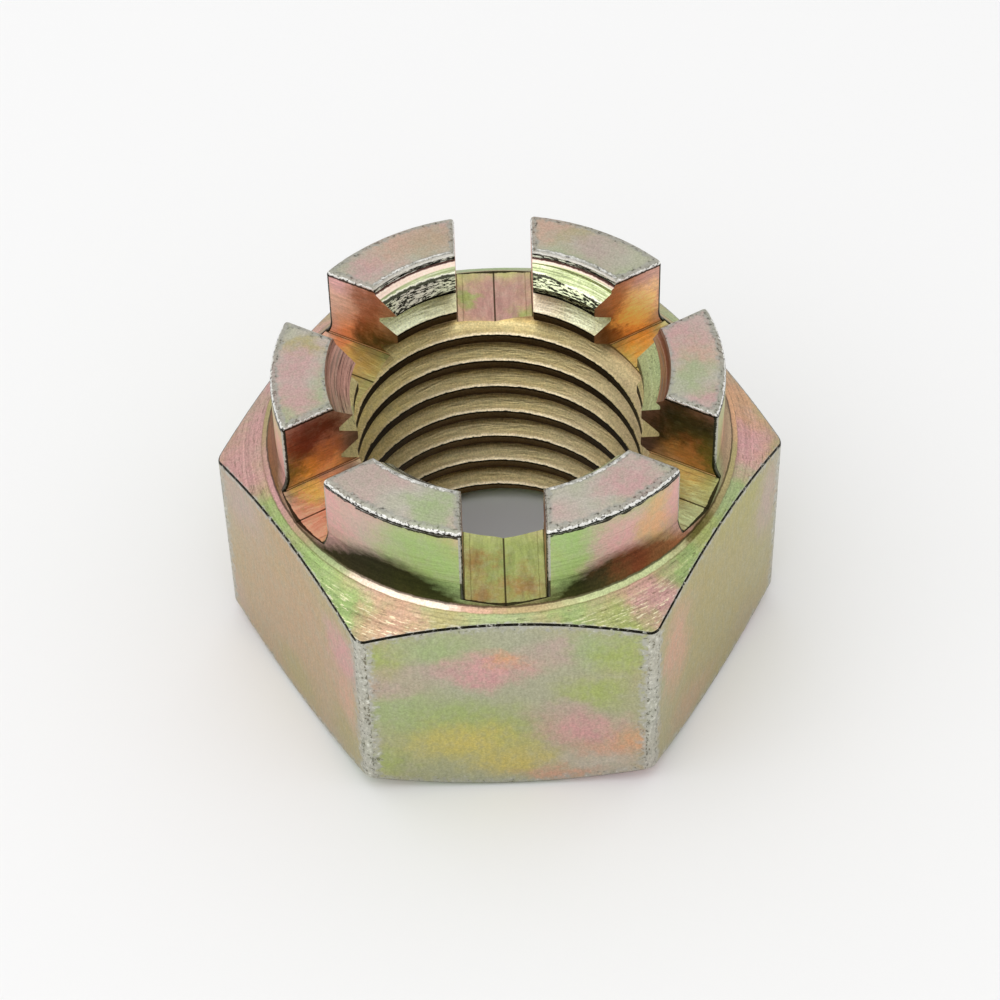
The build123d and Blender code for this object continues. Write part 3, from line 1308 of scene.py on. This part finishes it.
SLOT_WALL_BLOOMS = bloomed(
    (-14.1, 12.3, 30.9, 3.8, 3.8, T.SALMON), (-14.8, 12.7, 31.4, 3.2, 2.2, T.PINK),
    (-14.6, 12.6, 28.6, 3.4, 3.2, T.SALMON), (-13.8, 12.2, 26, 2.8, 2, T.ORANGE),
    (-12, 11.2, 30.2, 2.4, 2.6, T.CLAY), (-11.9, 11.1, 27.4, 2.2, 2.4, T.BROWN),
    (-11.3, 10.7, 25.6, 2.2, 2.2, T.UMBER), (15.1, 12.9, 31.2, 3.6, 2.8, T.ROSE),
    (14.3, 12.5, 29.6, 3.2, 2.2, T.SALMON), (13.7, 12.1, 28.3, 3, 3, T.HONEY),
    (13.3, 11.9, 26.8, 3.2, 2.8, T.HONEY), (11.6, 10.9, 29.7, 2.2, 2.6, T.COPPER),
    (10.8, 10.5, 25.9, 2, 2.4, T.BROWN), (-18.1, -6.2, 29, 3.4, 4.4, T.RUST),
    (-16.2, -5.1, 30.4, 2.4, 3, T.RUST), (-15.5, -4.7, 27, 2.6, 2.6, T.COPPER),
    (-17.2, -5.7, 26, 3, 2.2, T.AMBER), (-19.5, -7, 26.4, 2.3, 3.4, T.MOSS),
    (-15.2, -4.6, 24.8, 3, 1.6, T.HONEY), (16, -5.1, 30, 4.4, 4.6, T.BOTTLE),
    (19, -6.7, 29.6, 4, 5, T.BOTTLE), (17.2, -5.7, 27, 2.4, 1.6, T.BROWN),
    (15.4, -4.7, 27.6, 2.2, 3, T.UMBER), (17, -5.7, 25.7, 2.8, 1.8, T.COPPER),
    (19.3, -6.9, 26.6, 2.4, 3.4, T.MOSS),
)
# The first six rows give the floors of the two side slots paler tints: painted light against the shade they
# lie in.
SLOT_FLOOR_BLOOMS = bloomed(
    (-17.7, -7.3, 24.3, 2.4, 9, T.STRAW), (-17.2, -9.4, 24.1, 2.2, 9, T.APRICOT),
    (-17.1, -11.3, 24.2, 3, 9, T.APRICOT), (17.7, -7.3, 24.3, 3, 9, T.HAY),
    (17.2, -10.2, 24.2, 2.6, 9, T.LIME), (17, -11.8, 24.2, 2.6, 9, T.LIME),
    (13.6, 11.3, 24.3, 3.6, 9, T.AMBER), (-15.2, 11.3, 24.3, 3.6, 9, T.COPPER),
    (-12.6, 9.6, 24.3, 2.6, 9, T.GOLD), (-0.8, 17.8, 24.1, 4, 9, T.DUSK),
    (1.6, 18.3, 24.1, 3.6, 9, T.DUSK), (0, 15.5, 24.1, 3.6, 9, T.DUSK),
    (-3.2, 17.2, 24.2, 1.5, 9, T.SAGE), (2.9, 15.2, 24.2, 2, 9, T.SAGE), (0, -16, 24.1, 5.4, 9, T.SAGE),
    (0, -20, 24.1, 5.4, 9, T.SAGE), (-2.6, -16.6, 24.2, 2.4, 9, T.BARK),
    (-1.9, -20.2, 24.2, 2.4, 9, T.BARK), (1.5, -19.2, 24.2, 2.2, 9, T.BARK),
)


# Colours of one turn of the thread, from one crest to the next: at the back, and at the two sides. The dark
# crests and the darkening towards the crest above are painted shade, and the pale line over each crest is a
# painted highlight.
BACK_BANDS_AND_PAINTED_SHADE = (
    (0, "#4A3216"), (0.1, "#6C5430"), (0.21, "#7C6642"), (0.24, "#3A2C16"), (0.255, "#080503"),
    (0.28, "#080503"), (0.292, "#EADBB8"), (0.312, "#E2D2AC"), (0.33, "#B4A572"), (0.35, "#AC9C68"),
    (0.38, "#C6B87C"), (0.41, "#D8C88A"), (0.455, "#E8D89A"), (0.5, "#E0C87C"), (0.54, "#9B8048"),
    (0.98, "#3A2812"),
)
SIDE_BANDS_AND_PAINTED_SHADE = (
    (0, "#3A2C14"), (0.17, "#0C0905"), (0.28, "#0C0905"), (0.295, "#B8A878"), (0.34, "#B8A874"),
    (0.5, "#D8C68C"), (0.56, "#B8A268"),
)


def zinc_finishes(nut: CastleNut) -> dict[Surface, PassivatedZinc]:
    """List the finish of every surface, in the order of the materials.

    Args:
        nut: The nut whose sizes the finishes are laid out by.

    Returns:
        One finish for each surface.
    """
    drawn = (T.OLIVE, T.GREY, T.KHAKI, T.MAUVE)
    turned = (T.LEAF, T.GREEN, T.KHAKI, T.SALMON, T.PINK)
    finishes = (
        FlatFinish(
            "zinc_on_drawn_flats", drawn, Marks.DRAWN, FLAT_BLOOMS,
            grain=0.08, speckle=0.15, wear=0.7, painted_light_gain=1.12, haze=0.38,
        ),
        ShoulderFinish(
            "zinc_on_turned_shoulder", turned, Marks.TURNED, SHOULDER_BLOOMS,
            wear=0.2, grain=0.2, speckle=0.2, haze=0.2,
        ),
        CrownWallFinish(
            "zinc_on_crown_wall", turned, Marks.TURNED, CROWN_WALL_BLOOMS,
            wear=0.06, grain=0.06, painted_light_gain=1.3, haze=0.3,
        ),
        CrownTopFinish(
            "zinc_on_crown_top", (T.GREEN, T.SILVER, T.PINK), Marks.TURNED, CROWN_TOP_BLOOMS,
            veil=0.25, wear=0.3, haze=0.45, zinc=DULL_ZINC, speckle=0.16, grain=0.04, drift=6,
        ),
        SlotWallFinish(
            "zinc_on_milled_walls", (T.COPPER, T.ROSE, T.SALMON), Marks.MILLED, SLOT_WALL_BLOOMS,
            grain=0.2, painted_light_gain=1.25, haze=0.1,
        ),
        SlotFloorFinish(
            "zinc_on_milled_floors", (T.OLIVE, T.KHAKI, T.ROSE), Marks.MILLED, SLOT_FLOOR_BLOOMS,
            haze=0.2, grain=0.2, painted_light_gain=1.3,
        ),
        MouthFinish("zinc_on_countersinks", (T.LIME, T.LIME), Marks.TURNED),
        ThreadFinish(
            "zinc_on_tapped_thread", (T.KHAKI, T.TAN, T.MAUVE), Marks.TAPPED, THREAD_BLOOMS,
            grain=0.16, speckle=0.24,
        ),
        PassivatedZinc("zinc_on_bearing_face", turned, Marks.TURNED),
        WornCornerFinish("worn_zinc_on_corners", drawn, Marks.DRAWN, painted_light_gain=1.12),
        ArrisFinish("worn_zinc_on_arrises", drawn, Marks.DRAWN),
        RimFinish("worn_zinc_on_crown_rims", turned, Marks.DRAWN),
    )
    return {surface: replace(finish, nut=nut) for surface, finish in zip(Surface, finishes)}


# The studio


@dataclass(frozen=True)
class Studio:
    """Floor, light and camera. Places are millimetres in the part's frame, and the lens is in millimetres."""

    eye: tuple[float, float, float] = (-1.7546, -197.1117, 228.9296)
    target: tuple[float, float, float] = (-0.1551, -6.3645, 21.3542)
    roll: float = -1.4716
    lens: float = 110.113
    floor_size: float = 6000.0
    lamp_place: tuple[float, float, float] = (-200.0, -200.0, 600.0)
    lamp_size: float = 800.0
    lamp_watts: float = 1.3

    def camera(self) -> None:
        """Stand the camera where the photograph was taken from."""
        data = bpy.data.cameras.new("camera")
        data.lens = self.lens
        data.sensor_width = 36.0
        data.clip_start = 10 * MM
        camera = bpy.data.objects.new("camera", data)
        bpy.context.scene.collection.objects.link(camera)
        eye, target = Vector(self.eye) * MM, Vector(self.target) * MM
        roll = Matrix.Rotation(math.radians(self.roll), 3, "Z")
        turn = (target - eye).to_track_quat("-Z", "Y").to_matrix() @ roll
        camera.matrix_world = Matrix.Translation(eye) @ turn.to_4x4()
        bpy.context.scene.camera = camera

    def floor(self) -> None:
        """Lay a plain pale floor under the nut."""
        deselect_all()
        bpy.ops.mesh.primitive_plane_add(size=self.floor_size * MM, location=(0, 0, 0))
        floor = bpy.context.object
        floor.name = "floor"
        material = bpy.data.materials.new("paper")
        material.use_nodes = True
        shader = material.node_tree.nodes["Principled BSDF"]
        shader.inputs["Base Color"].default_value = linear("#EDEDED")
        shader.inputs["Roughness"].default_value = 0.9
        floor.data.materials.append(material)

    def lights(self) -> None:
        """Set a world that looks white, and one soft lamp overhead."""
        world = bpy.data.worlds.new("world")
        bpy.context.scene.world = world
        world.use_nodes = True
        world.node_tree.nodes.clear()
        add = partial(add_node, world.node_tree)
        rays = add("LightPath").outputs
        seen = add("Math:MAXIMUM", rays["Is Camera Ray"], rays["Is Glossy Ray"])
        seen = add("Math:MAXIMUM", seen, rays["Is Transmission Ray"])
        strength = add("MapRange", seen, 0.0, 1.0, 0.95, 1.0)
        light = add("Background", linear("#FFFFFF"), strength)
        add("OutputWorld", light)
        lamp = bpy.data.lights.new("overhead", "AREA")
        lamp.size = self.lamp_size * MM
        lamp.energy = self.lamp_watts
        holder = bpy.data.objects.new("overhead", lamp)
        holder.location = Vector(self.lamp_place) * MM
        holder.rotation_euler = (-holder.location).to_track_quat("-Z", "Y").to_euler()
        bpy.context.scene.collection.objects.link(holder)


def main() -> None:
    """Build the nut, dress it and set the studio around it."""
    logging.basicConfig(level=logging.INFO, format="%(message)s")
    studio = Studio()
    studio.camera()
    nut = CastleNut()
    piece = nut.build()
    log.info("nut: %d vertices, %d faces", len(piece.data.vertices), len(piece.data.polygons))
    nut.dress(zinc_finishes(nut))
    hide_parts("castle_nut")
    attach(piece, "root")
    studio.floor()
    studio.lights()
    bpy.context.scene.view_settings.view_transform = "Standard"


if __name__ == "__main__":
    main()
